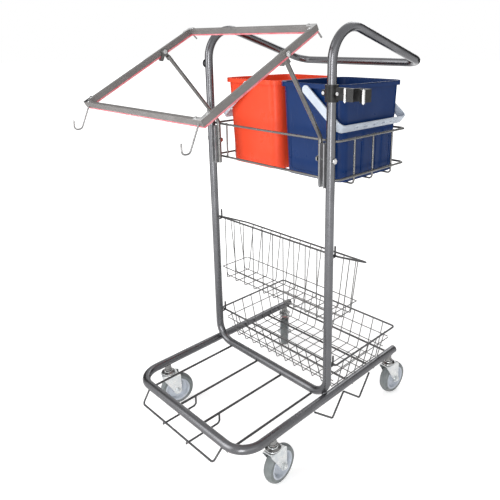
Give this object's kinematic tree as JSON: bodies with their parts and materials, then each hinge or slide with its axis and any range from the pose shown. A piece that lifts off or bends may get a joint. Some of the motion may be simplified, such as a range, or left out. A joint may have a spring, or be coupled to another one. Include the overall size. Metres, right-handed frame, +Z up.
{
  "type": "cleaning cart",
  "caption": "Bent-tube cleaning cart on swivel casters, with a tilted bag frame, red and blue buckets in a wire rack, wire baskets and a tool clip",
  "frame": {"origin": "on the floor, under the middle of the whole cart's box", "axes": "+X across the cart towards the tool clip, +Y from the bag frame to the push bar, +Z up"},
  "size_m": [0.5726, 0.7868, 1.083],
  "materials": {
    "tube_grey": "hammered grey paint",
    "dark_wire": "dark coated wire",
    "bright_wire": "light grey coated wire",
    "zinc": "zinc plated",
    "bar_grey": "matte extrusion",
    "strip_red": "soft edge strip",
    "bucket_blue": "moulded, slight gloss",
    "bucket_red": "moulded, slight gloss",
    "bail_grey": "moulded",
    "black_plastic": "moulded",
    "hub_grey": "moulded",
    "tyre_grey": "non-marking grey rubber"
  },
  "bodies": {
    "frame": {"base_tube": "tube_grey", "base_end_plugs": "black_plastic", "upright_frame": "tube_grey", "push_handle": "tube_grey", "strap_stud": "tube_grey", "floor_rods": "dark_wire", "cross_rods": "dark_wire", "front_rest_bow": "dark_wire", "front_rest_arms": "dark_wire", "side_rest_wire": "dark_wire", "rack_upper_ring": "bright_wire", "rack_lower_ring": "bright_wire", "rack_hoops": "bright_wire", "rack_posts": "bright_wire", "bag_struts": "bright_wire", "strut_brackets": "dark_wire", "bracket_bolts": "zinc", "bag_pivot_bolts": "zinc", "basket_hooks": "dark_wire", "tool_clip_clamp": "black_plastic", "tool_clip_screws": "zinc", "tool_clip_jaws": "black_plastic", "tool_clip_rollers": "zinc", "caster_stems": "zinc"},
    "bag_frame": {"bag_bars": "bar_grey", "bag_edge_strips": "strip_red", "bag_corner_plates": "zinc", "bag_front_hooks": "zinc", "bag_rear_pegs": "zinc"},
    "upper_basket": {"upper_basket_rim": "dark_wire", "upper_basket_mesh": "dark_wire"},
    "lower_basket": {"lower_basket_rim": "dark_wire", "lower_basket_mesh": "dark_wire"},
    "bucket_blue_body": {"bucket_blue": "bucket_blue"},
    "bucket_red_body": {"bucket_red": "bucket_red"},
    "bail_blue_body": {"bail_blue": "bail_grey"},
    "bail_red_body": {"bail_red": "bail_grey"},
    "swivel_front_left": {"caster_fork_front_left": "zinc", "caster_axle_front_left": "zinc"},
    "wheel_front_left": {"wheel_hub_front_left": "hub_grey", "wheel_tyre_front_left": "tyre_grey"},
    "swivel_front_right": {"caster_fork_front_right": "zinc", "caster_axle_front_right": "zinc"},
    "wheel_front_right": {"wheel_hub_front_right": "hub_grey", "wheel_tyre_front_right": "tyre_grey"},
    "swivel_rear_left": {"caster_fork_rear_left": "zinc", "caster_axle_rear_left": "zinc"},
    "wheel_rear_left": {"wheel_hub_rear_left": "hub_grey", "wheel_tyre_rear_left": "tyre_grey"},
    "swivel_rear_right": {"caster_fork_rear_right": "zinc", "caster_axle_rear_right": "zinc"},
    "wheel_rear_right": {"wheel_hub_rear_right": "hub_grey", "wheel_tyre_rear_right": "tyre_grey"}
  },
  "joints": [
    {"name": "swivel_front_left", "type": "hinge", "parent": "frame", "child": "swivel_front_left", "pos_m": [-0.25978, -0.19062, 0.102], "axis": [0, 0, 1], "continuous": true},
    {"name": "roll_front_left", "type": "hinge", "parent": "swivel_front_left", "child": "wheel_front_left", "pos_m": [-0.25208, -0.17054, 0.0475], "axis": [0.9336, -0.3584, 0], "continuous": true},
    {"name": "swivel_front_right", "type": "hinge", "parent": "frame", "child": "swivel_front_right", "pos_m": [0.18022, -0.19062, 0.102], "axis": [0, 0, 1], "continuous": true},
    {"name": "roll_front_right", "type": "hinge", "parent": "swivel_front_right", "child": "wheel_front_right", "pos_m": [0.17834, -0.1692, 0.0475], "axis": [0.9962, 0.0872, 0], "continuous": true},
    {"name": "swivel_rear_left", "type": "hinge", "parent": "frame", "child": "swivel_rear_left", "pos_m": [-0.25978, 0.29339, 0.102], "axis": [0, 0, 1], "continuous": true},
    {"name": "roll_rear_left", "type": "hinge", "parent": "swivel_rear_left", "child": "wheel_rear_left", "pos_m": [-0.24512, 0.27766, 0.0475], "axis": [-0.7314, -0.682, 0], "continuous": true},
    {"name": "swivel_rear_right", "type": "hinge", "parent": "frame", "child": "swivel_rear_right", "pos_m": [0.18022, 0.29339, 0.102], "axis": [0, 0, 1], "continuous": true},
    {"name": "roll_rear_right", "type": "hinge", "parent": "swivel_rear_right", "child": "wheel_rear_right", "pos_m": [0.18172, 0.31483, 0.0475], "axis": [0.9976, -0.0698, 0], "continuous": true},
    {"name": "bag_frame_tip", "type": "hinge", "parent": "frame", "child": "bag_frame", "pos_m": [-0.03978, -0.13909, 1.0147], "axis": [-1, 0, 0], "range_deg": [0, 60]},
    {"name": "lift_bucket_blue", "type": "slide", "parent": "frame", "child": "bucket_blue_body", "axis": [0, 0, 1], "range_m": [0, 0.05]},
    {"name": "swing_bail_blue", "type": "hinge", "parent": "bucket_blue_body", "child": "bail_blue_body", "pos_m": [0.06872, 0.17988, 0.927], "axis": [0, -1, 0], "range_deg": [0, 35]},
    {"name": "lift_bucket_red", "type": "slide", "parent": "frame", "child": "bucket_red_body", "axis": [0, 0, 1], "range_m": [0, 0.05]},
    {"name": "swing_bail_red", "type": "hinge", "parent": "bucket_red_body", "child": "bail_red_body", "pos_m": [-0.14828, 0.17988, 0.927], "axis": [0, 1, 0], "range_deg": [0, 35]},
    {"name": "lift_upper_basket", "type": "slide", "parent": "frame", "child": "upper_basket", "axis": [0, 0, 1], "range_m": [0, 0.06]},
    {"name": "lift_lower_basket", "type": "slide", "parent": "frame", "child": "lower_basket", "axis": [0, 0, 1], "range_m": [0, 0.06]}
  ]
}
